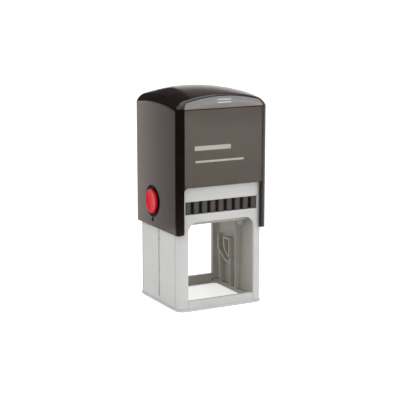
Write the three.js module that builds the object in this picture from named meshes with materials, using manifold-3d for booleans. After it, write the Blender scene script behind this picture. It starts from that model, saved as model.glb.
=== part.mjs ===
// A self-inking stamp for a square 40 x 40 mm text plate, in millimetres, +Z up.
// The origin is the middle of the base, on the surface that the stamp stands on.
// The front faces -Y. A grey base frame stands on the paper. A black cap slides down over it and carries
// a bridge, whose two legs hold the axle of a platen. The platen turns over on its way down, from the ink
// pad in the frame's bay to the paper. Two springs push the cap up again.

import * as THREE from "three";
import { mergeVertices } from "three/addons/utils/BufferGeometryUtils.js";
import Module from "manifold-3d";

const wasm = await Module();
wasm.setup();

// ---- Driving dimensions -------------------------------------------------------------------------

const stroke = 40; // cap travel
const plateSize = 40; // text plate, both ways
const arcSteps = 3; // half the chords in a quarter of a round
const smallGap = 0.1; // between pieces that rest on each other

// Base frame
const frameWidth = 52.4;
const frameDepth = 50;
const frameTop = 70.5;
const frameCornerRadius = 4.5;
const sideWall = 2.4;
const faceWall = 2;
const windowWidth = 41;
const windowSill = 5.8;
const windowHead = 49.5;
const windowHeadRadius = 5.6;
const bayFloor = 53.9;
const bayHeight = 7.1;
const bayWidth = 44.4;
const railHeight = 1;
const deckThickness = 2;
const deckGap = 0.4;
const pushSlotWidth = 24;
const pushSlotHeight = 4;

// Ring that the frame stands in
const footFlare = 0.5;
const footHeight = 1.2;
const footLipHeight = 2.6;
const footInside = 44.8;
const footBarGap = 0.15;

// Channel that a bridge leg runs in, and the ribs on the side walls
const legWidth = 4.8;
const legThickness = 1.3;
const legClearance = 0.2;
const channelDepth = 0.3;
const channelFloor = 3;
const ribWidth = 1;
const ribClearance = 0.3;

// Lines on the outside of the frame
const trackY = -0.4; // groove that the tongue of the lock button runs in
const trackWidth = 1.3;
const trackDepth = 1.05;
const trackFloor = 3.6;
const dimpleRadius = 1.6;
const dimpleDepth = 0.4;
const dimpleHeights = [19.5, 36.6];
const seamY = 20.4;
const seamWidth = 0.5;
const seamDepth = 0.25;

// Cap
const capSkirt = 43; // lower edge of the cap
const capWallX = 1.15;
const capClearX = 0.25;
const capWallY = 2.65;
const capClearY = 0.25;
const capCornerRadius = 4.4;
const capTop = 120.6;
const domeRadiusX = 84; // curvature of the top across the front
const domeRadiusY = 140; // and from front to back
const domeChords = 8;
const capStations = 22; // sections of the cap from left to right
const shoulderRadius = 5.2; // round of the front and rear top edges
const shoulderAngle = 81; // degrees of it, up to the slope of the top
const sideRound = 4.6; // round of the left and right top edges
const cavityRound = 2; // the same inside
const nestGap = 0.2; // between the frame's top and the cavity when the cap is down
const skirtRound = 2.2; // round of the lower corners, seen from the side
const capPost = 3.4; // width of the cap's corner posts beside the front opening
const faceBottom = 68.9; // lower edge of the cap's front face
const faceOpeningRadius = 2;
const innerShell = 1.2; // wall behind the label

// Label and its clear cover
const coverThickness = 1.1;
const labelThickness = 0.25;
const coverEdgeGap = 0.2;
const coverSeamAngle = 56; // degrees of the shoulder that the cover wraps over
const coverCornerRadius = 5;
const coverCornerDrop = 10.1; // from the cap's top down to the centres of its two upper corners
const labelMargin = 0.2;
const pullRibWidth = 8.6;
const pullRibHeight = 0.6;
const pullRibProud = 0.3;
const pullRibPitch = 1.5;

// Lock buttons, one on each side of the cap
const buttonY = 4.5;
const buttonZ = 57.4;
const buttonRadius = 6.8;
const buttonThickness = 1.3;
const buttonProud = 1.4;
const buttonTravel = 0.6;
const dishRadius = 9;
const dishDepth = 0.55;
const buttonHoleRadius = 5.7;
const buttonStemRadius = 5.5;
const tongueWidth = 0.8;
const tongueHeight = 8;
const tongueThickness = 0.4;
const tongueNeckHeight = 2.8;
const peepHoleRadius = 1.1;
const peepHoleDrop = 10.5; // below the middle of the button

// Ink pad and its tray
const padGap = 2.8; // from the text plate up to the pad
const padHeight = 3.7;
const trayWall = 1.2;
const trayRoof = 1.1;
const traySideGap = 0.3;
const trayFrontPlate = 2.1;
const trayInset = 0.3; // front of the tray behind the front of the frame
const gripPitch = 5.1;
const gripGrooves = 8;
const gripGrooveWidth = 1.8;
const gripGrooveDepth = 1.6;

// Platen and what is stuck on it
const faceHeight = 6.5; // from the axle up to the face of the text plate
const reliefHeight = 0.5;
const rubberSheet = 0.9;
const cushionThickness = 1.4;
const platenThickness = 3;
const platenMargin = 0.1;
const axleRadius = 1.1;
const axleClearance = 0.15;
const axleBossRadius = 2.4;
const cheekThickness = 1.5;
const cheekArm = 11.5;
const cheekDrop = 2.2;
const followerRadius = 1.5;
const followerLength = 0.5;

// Springs and the bridge
const springX = 12;
const springRadius = 4.5;
const wireRadius = 0.45;
const springTurns = 7;
const springSteps = 14; // chords in a turn
const pegRadius = 3.2;
const pegHeight = 3;
const bridgeDrop = 9.6; // from the cap's top down to the bridge's crossbar
const bridgeThickness = 2.3;
const bridgeDepth = 16;
const bridgeHeadGap = 0.3;

// ---- Places worked out from them ----------------------------------------------------------------

const halfFrameX = frameWidth / 2;
const halfFrameY = frameDepth / 2;
const wallInnerX = halfFrameX - sideWall;
const wallInnerY = halfFrameY - faceWall;
const bayCeiling = bayFloor + bayHeight;
const deckBottom = bayCeiling + deckGap;
const deckTop = deckBottom + deckThickness;

const platenHalf = plateSize / 2 + platenMargin;
const ribTopX = platenHalf + followerLength + ribClearance;
const axleZ = stroke + faceHeight; // at rest; the text plate reaches the paper after the stroke
const plateFaceZ = axleZ + faceHeight;
const padFaceZ = plateFaceZ + padGap;

const capInnerX = halfFrameX + capClearX;
const capInnerY = halfFrameY + capClearY;
const capHalfX = capInnerX + capWallX;
const capHalfY = capInnerY + capWallY;
const openingHalfX = capHalfX - capPost;
const shoulderY = capHalfY - shoulderRadius;
const ridgeZ = (y) => capTop - (y * y) / (2 * domeRadiusY);
const shoulderTurn = THREE.MathUtils.degToRad(shoulderAngle);
const shoulderTopY = shoulderY + shoulderRadius * Math.cos(shoulderTurn);
const shoulderZ = ridgeZ(shoulderTopY) - shoulderRadius * Math.sin(shoulderTurn);
const coverCornerZ = capTop - coverCornerDrop;
const bridgeUnderside = capTop - bridgeDrop;
const coverSeamY = shoulderY + shoulderRadius * Math.cos(THREE.MathUtils.degToRad(coverSeamAngle));

const trayHalfX = bayWidth / 2 - traySideGap;
const legInnerX = trayHalfX + 0.35;
const legOuterX = legInnerX + legThickness;
const channelX = wallInnerX + channelDepth;
const channelHalfY = legWidth / 2 + legClearance;

// ---- Geometry helpers ---------------------------------------------------------------------------

// The closed solid that a geometry bounds.
function solidOf(geometry) {
  const bare = geometry.clone();
  for (const name of Object.keys(bare.attributes)) {
    if (name !== "position") bare.deleteAttribute(name);
  }
  const merged = mergeVertices(bare, 1e-4);
  return new wasm.Manifold(
    new wasm.Mesh({
      numProp: 3,
      vertProperties: new Float32Array(merged.attributes.position.array),
      triVerts: new Uint32Array(merged.index.array),
    }),
  );
}

function geometryOf(solid) {
  const mesh = solid.getMesh();
  const geometry = new THREE.BufferGeometry();
  geometry.setAttribute("position", new THREE.BufferAttribute(new Float32Array(mesh.vertProperties), 3));
  geometry.setIndex(new THREE.BufferAttribute(new Uint32Array(mesh.triVerts), 1));
  const flat = geometry.toNonIndexed();
  flat.computeVertexNormals();
  return flat;
}

function box(x0, x1, y0, y1, z0, z1) {
  const geometry = new THREE.BoxGeometry(x1 - x0, y1 - y0, z1 - z0);
  geometry.translate((x0 + x1) / 2, (y0 + y1) / 2, (z0 + z1) / 2);
  return solidOf(geometry);
}

// A box that is centred on the X and Y axes.
function centredBox(sizeX, sizeY, z0, z1) {
  return box(-sizeX / 2, sizeX / 2, -sizeY / 2, sizeY / 2, z0, z1);
}

function extruded(shape, depth) {
  return new THREE.ExtrudeGeometry(shape, { depth, bevelEnabled: false, curveSegments: arcSteps });
}

// A shape drawn in X and Y, from z0 up to z1.
function alongZ(shape, z0, z1) {
  return solidOf(extruded(shape, z1 - z0).translate(0, 0, z0));
}

// A shape drawn in Y and Z, from x0 to x1.
function alongX(shape, x0, x1) {
  const geometry = extruded(shape, x1 - x0);
  const turn = new THREE.Matrix4().makeBasis(
    new THREE.Vector3(0, 1, 0),
    new THREE.Vector3(0, 0, 1),
    new THREE.Vector3(1, 0, 0),
  );
  return solidOf(geometry.applyMatrix4(turn).translate(x0, 0, 0));
}

// A shape drawn in X and Z, from y0 to y1.
function alongY(shape, y0, y1) {
  const geometry = extruded(shape, y1 - y0);
  geometry.rotateX(Math.PI / 2);
  return solidOf(geometry.translate(0, y1, 0));
}

function roundedRectangle(width, height, radius, middleY = 0) {
  const x = width / 2 - radius;
  const y = height / 2 - radius;
  const shape = new THREE.Shape();
  shape.absarc(x, middleY + y, radius, 0, Math.PI / 2);
  shape.absarc(-x, middleY + y, radius, Math.PI / 2, Math.PI);
  shape.absarc(-x, middleY - y, radius, Math.PI, 1.5 * Math.PI);
  shape.absarc(x, middleY - y, radius, 1.5 * Math.PI, 2 * Math.PI);
  shape.closePath();
  return shape;
}

function polygon(points) {
  return new THREE.Shape(points.map(([a, b]) => new THREE.Vector2(a, b)));
}

// A cylinder along X through (y, z). A second radius makes it a cone that ends at x1 with that radius.
function rodX(radius, y, z, x0, x1, sides = 24, endRadius = radius) {
  const geometry = new THREE.CylinderGeometry(endRadius, radius, x1 - x0, sides);
  geometry.rotateZ(-Math.PI / 2);
  return solidOf(geometry.translate((x0 + x1) / 2, y, z));
}

function rodZ(radius, x, y, z0, z1, sides = 24) {
  const geometry = new THREE.CylinderGeometry(radius, radius, z1 - z0, sides);
  geometry.rotateX(Math.PI / 2);
  return solidOf(geometry.translate(x, y, (z0 + z1) / 2));
}

// A bar of one width between two points of a side wall, drawn in Y and Z.
function strut([y0, z0], [y1, z1], width) {
  const along = new THREE.Vector2(y1 - y0, z1 - z0).setLength(width / 2);
  const across = new THREE.Vector2(-along.y, along.x);
  return polygon([
    [y0 - along.x + across.x, z0 - along.y + across.y],
    [y0 - along.x - across.x, z0 - along.y - across.y],
    [y1 + along.x - across.x, z1 + along.y - across.y],
    [y1 + along.x + across.x, z1 + along.y + across.y],
  ]);
}

function union(solids) {
  return solids.reduce((all, next) => all.add(next));
}

const mirroredX = (solid) => solid.mirror([1, 0, 0]);
const mirroredY = (solid) => solid.mirror([0, 1, 0]);
const onBothSides = (solid) => solid.add(mirroredX(solid));
const onBothFaces = (solid) => solid.add(mirroredY(solid));

// ---- Base frame ---------------------------------------------------------------------------------

// Ribs on the inside of the right wall: the two that guide the bridge leg, and the cam track that turns
// the platen over. The track is a loop round an island, behind the leg's channel.
function camRibs() {
  const guide = channelHalfY + ribWidth / 2;
  const ribFoot = footLipHeight + ribClearance + ribWidth / 2;
  const islandFront = guide + 1.2;
  const island = [
    [islandFront, 30.6],
    [10.4, 30.2],
    [10.4, 26],
    [8.8, 22.8],
    [islandFront, 19.6],
  ];
  const track = [
    [17.2, 30.8],
    [17.2, 22.8],
    [8.6, 17],
    [guide, 17],
  ];
  const bars = [strut([-guide, ribFoot], [-guide, bayFloor - railHeight / 2], ribWidth)];
  bars.push(strut([guide, ribFoot], [guide, 18.5], ribWidth));
  bars.push(strut([islandFront, 19.8], [guide, 18], ribWidth));
  island.forEach((point, i) => bars.push(strut(point, island[(i + 1) % island.length], ribWidth)));
  track.slice(1).forEach((point, i) => bars.push(strut(track[i], point, ribWidth)));
  bars.push(strut([15.2, ribFoot], [15.2, 20.4], ribWidth * 0.8));
  return union(bars.map((bar) => alongX(bar, ribTopX, wallInnerX + 0.5)));
}

// Ledge on the right wall that the ink tray rests on, in front of and behind the leg's channel.
function trayRail() {
  const start = channelHalfY + 0.6;
  return onBothFaces(box(ribTopX, wallInnerX + 0.5, start, wallInnerY + 0.5, bayFloor - railHeight, bayFloor));
}

function windowOpening() {
  const half = windowWidth / 2;
  const headZ = windowHead - windowHeadRadius;
  const sillHalf = half - footBarGap;
  const shape = new THREE.Shape();
  shape.moveTo(-sillHalf, -1);
  shape.lineTo(sillHalf, -1);
  shape.lineTo(sillHalf, windowSill);
  shape.lineTo(half, windowSill);
  shape.absarc(half - windowHeadRadius, headZ, windowHeadRadius, 0, Math.PI / 2);
  shape.absarc(-half + windowHeadRadius, headZ, windowHeadRadius, Math.PI / 2, Math.PI);
  shape.lineTo(-half, windowSill);
  shape.lineTo(-sillHalf, windowSill);
  shape.closePath();
  return alongY(shape, -frameDepth, frameDepth);
}

// Ring under the frame: a flared foot, a bar across each window between the corner posts, and a lip that
// the frame's walls stand round.
function footRing() {
  const foot = roundedRectangle(
    frameWidth + 2 * footFlare,
    frameDepth + 2 * footFlare,
    frameCornerRadius + footFlare,
  );
  const innerRadius = frameCornerRadius - sideWall;
  const lip = roundedRectangle(2 * (wallInnerX - smallGap), 2 * (wallInnerY - smallGap), innerRadius);
  const barHalf = windowWidth / 2 - 2 * footBarGap;
  const bar = box(-barHalf, barHalf, -halfFrameY, -wallInnerY + 0.5, 0, windowSill);
  const opening = roundedRectangle(footInside, footInside, innerRadius);
  const lipInside = onBothFaces(box(-barHalf, barHalf, -wallInnerY, 0, footHeight, windowSill + 1));
  return alongZ(foot, 0, footHeight)
    .add(alongZ(lip, 0, footLipHeight))
    .add(onBothFaces(bar))
    .subtract(lipInside)
    .subtract(alongZ(opening, -1, windowSill + 1));
}

// The room that the pressed-down cap leaves the frame.
function nestedForm() {
  const room = capForm(capWallX + nestGap, capWallY + nestGap, stroke - 1, cavityRound);
  return room.translate([0, 0, -stroke]);
}

function baseFrame() {
  const frameBottom = footHeight + smallGap;
  const outline = roundedRectangle(frameWidth, frameDepth, frameCornerRadius);
  const inside = roundedRectangle(2 * wallInnerX, 2 * wallInnerY, frameCornerRadius - sideWall);
  let frame = alongZ(outline, frameBottom, frameTop)
    .subtract(alongZ(inside, frameBottom - 1, deckBottom))
    .subtract(alongZ(inside, deckTop, frameTop + 1))
    .intersect(nestedForm())
    .subtract(windowOpening());

  const slotMiddle = (bayFloor + bayCeiling) / 2;
  const slotHalf = pushSlotHeight / 2;
  const halfBay = bayWidth / 2;
  const halfSlot = pushSlotWidth / 2;
  frame = frame
    .subtract(box(-halfBay, halfBay, -frameDepth, 0, bayFloor, bayCeiling))
    .subtract(box(-halfSlot, halfSlot, 0, frameDepth, slotMiddle - slotHalf, slotMiddle + slotHalf));

  frame = frame.add(onBothSides(camRibs().add(trayRail())));
  const channel = box(0, channelX, -channelHalfY, channelHalfY, channelFloor, frameTop + 1);
  const keep = box(0, legInnerX - legClearance, -channelHalfY, channelHalfY, deckBottom, deckTop);
  const springPeg = rodZ(pegRadius, springX, 0, deckTop - 0.5, deckTop + pegHeight);
  return frame
    .subtract(onBothSides(channel.subtract(keep)))
    .add(onBothSides(springPeg))
    .subtract(outsideLines());
}

// Shallow lines on the outside: the grooves that the lock tongues run in with their round dimples, and
// the seams on the side walls.
function outsideLines() {
  const far = halfFrameX + 1;
  const top = frameTop + 1;
  const track = box(
    halfFrameX - trackDepth,
    far,
    trackY - trackWidth / 2,
    trackY + trackWidth / 2,
    trackFloor,
    top,
  );
  const dimples = dimpleHeights.map((z) => rodX(dimpleRadius, trackY, z, halfFrameX - dimpleDepth, far));
  const seamX = halfFrameX - seamDepth;
  const seam = box(seamX, far, seamY - seamWidth / 2, seamY + seamWidth / 2, 0, top);
  return onBothSides(union([track, ...dimples, onBothFaces(seam)]));
}

// ---- Cap ----------------------------------------------------------------------------------------

// Side view of the cap in Y and Z at its middle, taken inwards by inset: an arched top that runs into
// the two faces over round shoulders.
function sideView(inset, bottom) {
  const radius = shoulderRadius - inset;
  const halfY = capHalfY - inset;
  const endY = shoulderY + radius * Math.cos(shoulderTurn);
  const shape = new THREE.Shape();
  shape.moveTo(-halfY, bottom);
  shape.lineTo(halfY, bottom);
  shape.absarc(shoulderY, shoulderZ, radius, 0, shoulderTurn);
  for (let i = 1; i < domeChords; i++) {
    const y = endY * (1 - (2 * i) / domeChords);
    shape.lineTo(y, ridgeZ(y) - inset);
  }
  shape.absarc(-shoulderY, shoulderZ, radius, Math.PI - shoulderTurn, Math.PI);
  shape.closePath();
  return shape;
}

// The cap as a full body, with its sides taken inwards by insetX and its faces and top by insetY. The
// side view runs from side to side and sinks with the arch of the front view and its round top edges.
function capForm(insetX, insetY, bottom, round = sideRound - insetX) {
  const halfX = capHalfX - insetX;
  const geometry = new THREE.ExtrudeGeometry(sideView(insetY, bottom), {
    depth: 2,
    steps: capStations,
    bevelEnabled: false,
    curveSegments: arcSteps + 1,
  });
  const drawn = geometry.attributes.position;
  const placed = new Float32Array(drawn.count * 3);
  for (let i = 0; i < drawn.count; i++) {
    const x = halfX * Math.sin((Math.PI / 2) * (drawn.getZ(i) - 1));
    const intoRound = Math.max(0, Math.abs(x) - (halfX - round));
    const sink = (x * x) / (2 * domeRadiusX) + round - Math.sqrt(Math.max(0, round ** 2 - intoRound ** 2));
    const z = drawn.getY(i);
    placed.set([x, drawn.getX(i), z > bottom + 1 ? z - sink : z], 3 * i);
  }
  geometry.setAttribute("position", new THREE.BufferAttribute(placed, 3));
  return solidOf(geometry);
}

function capBody() {
  const plan = roundedRectangle(2 * capHalfX, 2 * capHalfY, capCornerRadius);
  const height = 2 * (capTop - capSkirt);
  const skirt = roundedRectangle(2 * capHalfY, height, skirtRound, capSkirt + height / 2);
  return capForm(0, 0, capSkirt)
    .intersect(alongZ(plan, capSkirt, capTop + 1))
    .intersect(alongX(skirt, -capHalfX - 1, capHalfX + 1));
}

function capCavity() {
  const plan = roundedRectangle(2 * capInnerX, 2 * capInnerY, frameCornerRadius + capClearX);
  return capForm(capWallX, capWallY, capSkirt - 2, cavityRound).intersect(alongZ(plan, capSkirt - 2, capTop));
}

// Front view of the cover, taken inwards by gap: straight sides, two round upper corners, and no end
// above them, because the cover ends there at its seam with the roof.
function coverView(gap, bottom) {
  const halfX = openingHalfX - gap;
  const radius = coverCornerRadius - gap;
  const cornerX = halfX - radius;
  const turn = THREE.MathUtils.degToRad(75);
  const shape = new THREE.Shape();
  shape.moveTo(-halfX, bottom);
  shape.lineTo(halfX, bottom);
  shape.absarc(cornerX, coverCornerZ, radius, 0, turn);
  shape.lineTo(0, capTop);
  shape.absarc(-cornerX, coverCornerZ, radius, Math.PI - turn, Math.PI);
  shape.closePath();
  return shape;
}

// All that is in front of one depth under the cap's front surface, within the cover's outline.
function coverLayer(depth, gap) {
  const view = alongY(coverView(gap, faceBottom + gap), -2 * capHalfY, -coverSeamY - gap);
  return view.subtract(capForm(depth, depth, capSkirt - 2));
}

function faceOpening() {
  const low = capSkirt - faceOpeningRadius - 1;
  const height = faceBottom - low;
  const shape = roundedRectangle(2 * openingHalfX, height, faceOpeningRadius, low + height / 2);
  return alongY(shape, -2 * capHalfY, 2 * capHalfY);
}

function capShell(body) {
  let cap = body.subtract(capCavity());
  cap = cap.subtract(faceOpening());
  cap = cap.subtract(onBothFaces(coverLayer(capWallY - innerShell, 0)));

  const faceX = capHalfX;
  const dish = rodX(dishRadius - dishDepth * 2, buttonY, buttonZ, faceX - dishDepth, faceX, 40, dishRadius);
  const dishMouth = rodX(dishRadius, buttonY, buttonZ, faceX - 0.01, faceX + 1, 40);
  const hole = rodX(buttonHoleRadius, buttonY, buttonZ, capInnerX - 1, faceX + 1, 32);
  const peepHole = rodX(peepHoleRadius, buttonY, buttonZ - peepHoleDrop, capInnerX - 1, faceX + 1, 16);
  return cap.subtract(onBothSides(union([dish, dishMouth, hole, peepHole])));
}

// Clear cover over the label, with two small ribs at the top that a fingernail lifts it by.
function frontCover(body) {
  const pane = body.intersect(coverLayer(coverThickness, coverEdgeGap));
  const ribs = [0, 1].map((i) => {
    const z = shoulderZ + 0.4 + i * pullRibPitch;
    const half = pullRibWidth / 2;
    return box(-half, half, -capHalfY - pullRibProud, -capHalfY + coverThickness / 2, z, z + pullRibHeight);
  });
  return union([pane, ...ribs]);
}

function frontLabel() {
  const halfX = openingHalfX - coverEdgeGap - labelMargin;
  const back = -capHalfY + capWallY - innerShell - smallGap;
  const bottom = faceBottom + coverEdgeGap + labelMargin;
  const behindCover = coverThickness + smallGap / 2;
  return box(-halfX, halfX, back - labelThickness, back, bottom, shoulderZ - labelMargin).intersect(
    capForm(behindCover, behindCover, capSkirt),
  );
}

// Lock button of the right side: a disc in the dish, a stem in the cap's wall, and a tongue that reaches
// through the wall into the frame's groove, with a head that keeps the button in.
function rightLockButton() {
  const outer = capHalfX + buttonProud;
  const edge = 0.5;
  const stemEnd = capInnerX + buttonTravel + smallGap;
  const discBase = outer - buttonThickness;
  const disc = rodX(buttonRadius, buttonY, buttonZ, discBase, outer - edge, 40);
  const crown = rodX(buttonRadius, buttonY, buttonZ, outer - edge, outer, 40, buttonRadius - edge);
  const stem = rodX(buttonStemRadius, buttonY, buttonZ, stemEnd, discBase + 0.1, 32);
  const headEnd = capInnerX - smallGap;
  const headStart = headEnd - tongueThickness;
  const neck = box(
    headStart,
    stemEnd + 0.1,
    trackY - tongueWidth / 2,
    trackY + tongueWidth / 2,
    buttonZ - tongueNeckHeight / 2,
    buttonZ + tongueNeckHeight / 2,
  );
  const head = box(
    headStart,
    headEnd,
    trackY - tongueWidth / 2,
    trackY + tongueWidth / 2,
    buttonZ - tongueHeight / 2,
    buttonZ + tongueHeight / 2,
  );
  return union([disc, crown, stem, neck, head]);
}

// ---- Ink tray and pad ---------------------------------------------------------------------------

const trayBottom = bayFloor + 0.25;
const trayTop = bayCeiling - 0.2;
const trayBodyHalfY = wallInnerY - 0.4;
const trayInnerHalfX = trayHalfX - trayWall;
const trayInnerHalfY = trayBodyHalfY - trayWall;

// Tray, open downwards. Its front plate has upright grooves to grip it by.
function inkTray() {
  const frontY = -halfFrameY + trayInset;
  const plan = roundedRectangle(2 * trayHalfX, 2 * trayBodyHalfY, frameCornerRadius - sideWall);
  let tray = alongZ(plan, trayBottom, trayTop);
  tray = tray.add(box(-trayHalfX, trayHalfX, frontY, frontY + trayFrontPlate + 0.1, trayBottom, trayTop));
  tray = tray.subtract(
    centredBox(2 * trayInnerHalfX, 2 * trayInnerHalfY, trayBottom - 1, trayTop - trayRoof),
  );
  const grooves = Array.from({ length: gripGrooves }, (_, i) => {
    const x = (i - (gripGrooves - 1) / 2) * gripPitch;
    const half = gripGrooveWidth / 2;
    return box(x - half, x + half, frontY - 1, frontY + gripGrooveDepth, trayBottom - 1, trayTop + 1);
  });
  return tray.subtract(union(grooves));
}

function inkPad() {
  const side = 0.3;
  const top = Math.min(padFaceZ + padHeight, trayTop - trayRoof - smallGap);
  return centredBox(2 * (trayInnerHalfX - side), 2 * (trayInnerHalfY - side), padFaceZ, top);
}

// ---- Platen, cushion, text plate and axle -------------------------------------------------------

const platenTopZ = plateFaceZ - reliefHeight - rubberSheet - cushionThickness - 2 * smallGap;

// The platen faces up at rest. Its plate carries the cushion, a boss along X holds the axle, and a cheek
// at each end has two arms with the follower pins of the cam track.
function platen() {
  const plate = centredBox(2 * platenHalf, 2 * platenHalf, platenTopZ - platenThickness, platenTopZ);
  const boss = rodX(axleBossRadius, 0, axleZ, -platenHalf, platenHalf);
  const pinZ = axleZ - cheekDrop;
  const cheekShape = polygon([
    [-cheekArm - 2, platenTopZ - 0.5],
    [-cheekArm - 2, pinZ - 1],
    [-cheekArm - 1, pinZ - 2],
    [-cheekArm + 1, pinZ - 2],
    [-axleBossRadius - 2, axleZ - 1.2],
    [-axleBossRadius, axleZ - axleBossRadius],
    [axleBossRadius, axleZ - axleBossRadius],
    [axleBossRadius + 2, axleZ - 1.2],
    [cheekArm - 1, pinZ - 2],
    [cheekArm + 1, pinZ - 2],
    [cheekArm + 2, pinZ - 1],
    [cheekArm + 2, platenTopZ - 0.5],
  ]);
  const cheek = alongX(cheekShape, platenHalf - cheekThickness, platenHalf);
  const pins = [-cheekArm, cheekArm].map((y) =>
    rodX(followerRadius, y, pinZ, platenHalf - 0.1, platenHalf + followerLength, 16),
  );
  const bore = rodX(axleRadius + smallGap, 0, axleZ, -platenHalf - 1, platenHalf + 1);
  const stiffeners = [-10, 0, 10].map((x) =>
    box(x - 0.7, x + 0.7, -cheekArm, cheekArm, axleZ - 1.6, platenTopZ - 1),
  );
  return union([plate, boss, ...stiffeners, onBothSides(union([cheek, ...pins]))]).subtract(bore);
}

function plateCushion() {
  const half = plateSize - 0.4;
  const bottom = platenTopZ + smallGap;
  return centredBox(half, half, bottom, bottom + cushionThickness);
}

// Rubber text plate: a sheet with a raised border and plain bars where a text would be.
function textPlate() {
  const sheetTop = plateFaceZ - reliefHeight;
  const sheet = centredBox(plateSize, plateSize, sheetTop - rubberSheet, sheetTop);
  const borderOuter = plateSize - 2;
  const borderInner = borderOuter - 2.4;
  const border = centredBox(borderOuter, borderOuter, sheetTop - 0.1, plateFaceZ).subtract(
    centredBox(borderInner, borderInner, sheetTop - 1, plateFaceZ + 1),
  );
  const bars = [
    [26, 10.5, 3.4],
    [20, 3.5, 1.8],
    [24, -3.5, 1.8],
    [14, -10.5, 3.4],
  ].map(([length, y, height]) =>
    box(-length / 2, length / 2, y - height / 2, y + height / 2, sheetTop - 0.1, plateFaceZ),
  );
  return union([sheet, border, ...bars]);
}

function platenAxle() {
  const end = legOuterX - 0.15;
  return rodX(axleRadius, 0, axleZ, -end, end);
}

// ---- Bridge and springs -------------------------------------------------------------------------

// Crossbar under the cap's roof with a long leg at each end. The legs hold the axle of the platen.
function bridge() {
  const barTop = bridgeUnderside + bridgeThickness;
  const bar = box(-legOuterX, legOuterX, -bridgeDepth / 2, bridgeDepth / 2, bridgeUnderside, barTop);
  const footZ = axleZ - legWidth / 2 - 0.4;
  const leg = box(legInnerX, legOuterX, -legWidth / 2, legWidth / 2, footZ, barTop);
    const hole = rodX(axleRadius + axleClearance, 0, axleZ, legInnerX - 1, legOuterX + 1);
  const peg = rodZ(pegRadius, springX, 0, bridgeUnderside - pegHeight, bridgeUnderside + 0.5);
  const headX = 5;
  const headRoof = capTop - capWallY - (headX * headX) / (2 * domeRadiusX) - bridgeHeadGap;
  const head = box(-headX, headX, -3, 3, barTop - 0.5, headRoof);
  return union([bar, head, onBothSides(leg.add(peg))]).subtract(onBothSides(hole));
}

// A helix with its turns closed up at both ends.
class SpringCurve extends THREE.Curve {
  constructor(bottom, top) {
    super();
    this.bottom = bottom;
    this.top = top;
  }

  getPoint(t, target = new THREE.Vector3()) {
    const angle = 2 * Math.PI * springTurns * t;
    const ends = 1 / springTurns; // share of the length in each closed turn
    const pitch = 2.2 * wireRadius;
    let z = this.bottom + pitch + ((t - ends) / (1 - 2 * ends)) * (this.top - this.bottom - 2 * pitch);
    if (t < ends) z = this.bottom + (t / ends) * pitch;
    if (t > 1 - ends) z = this.top - ((1 - t) / ends) * pitch;
    return target.set(springRadius * Math.cos(angle), springRadius * Math.sin(angle), z);
  }
}

function rightSpring() {
  const curve = new SpringCurve(deckTop + wireRadius + smallGap, bridgeUnderside - wireRadius - smallGap);
  const section = new THREE.Shape();
  const sides = 6;
  for (let i = 0; i < sides; i++) {
    const angle = (2 * Math.PI * i) / sides;
    const corner = [wireRadius * Math.cos(angle), wireRadius * Math.sin(angle)];
    if (i === 0) section.moveTo(...corner);
    else section.lineTo(...corner);
  }
  section.closePath();
  const geometry = new THREE.ExtrudeGeometry(section, {
    steps: springTurns * springSteps,
    extrudePath: curve,
    bevelEnabled: false,
    curveSegments: 1,
  });
  return solidOf(geometry.translate(springX, 0, 0));
}

// ---- The assembly -------------------------------------------------------------------------------

const finish = (color, roughness, metalness = 0) =>
  new THREE.MeshStandardMaterial({ color, roughness, metalness });
const greyPlastic = finish(0xc9c9c7, 0.55);
const blackGloss = finish(0x15120f, 0.12);
const blackMatt = finish(0x2b2725, 0.6);
const redPlastic = finish(0xc41a2a, 0.35);
const labelPaper = finish(0x4a4239, 0.7);
const springSteel = finish(0xb8babd, 0.3, 1);
const rubber = finish(0x8f5a48, 0.8);
const foam = finish(0xd8d2c4, 0.95);
const inkFelt = finish(0x16162a, 0.95);
const clearPlastic = new THREE.MeshPhysicalMaterial({
  color: 0xffffff,
  roughness: 0.05,
  metalness: 0,
  transmission: 0.9,
  thickness: coverThickness,
});

const stamp = new THREE.Group();

function place(name, solid, material) {
  const mesh = new THREE.Mesh(geometryOf(solid), material);
  mesh.name = name;
  stamp.add(mesh);
}

const body = capBody();
const cover = frontCover(body);
const label = frontLabel();
const button = rightLockButton();
const spring = rightSpring();

place("base_frame", baseFrame(), greyPlastic);
place("foot_ring", footRing(), greyPlastic);
place("ink_tray", inkTray(), blackMatt);
place("ink_pad", inkPad(), inkFelt);
place("left_spring", mirroredX(spring), springSteel);
place("right_spring", spring, springSteel);
place("cap_shell", capShell(body), blackGloss);
place("front_cover", cover, clearPlastic);
place("rear_cover", mirroredY(cover), clearPlastic);
place("front_label", label, labelPaper);
place("rear_label", mirroredY(label), labelPaper);
place("left_lock_button", mirroredX(button), redPlastic);
place("right_lock_button", button, redPlastic);
place("bridge", bridge(), greyPlastic);
place("platen", platen(), greyPlastic);
place("platen_axle", platenAxle(), springSteel);
place("plate_cushion", plateCushion(), foam);
place("text_plate", textPlate(), rubber);

export default stamp;
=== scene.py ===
"""The looks of a self-inking stamp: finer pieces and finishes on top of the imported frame.

Sizes below are in millimetres in the frame's own axes: +X right, +Y to the back, +Z up.
"""

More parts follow.
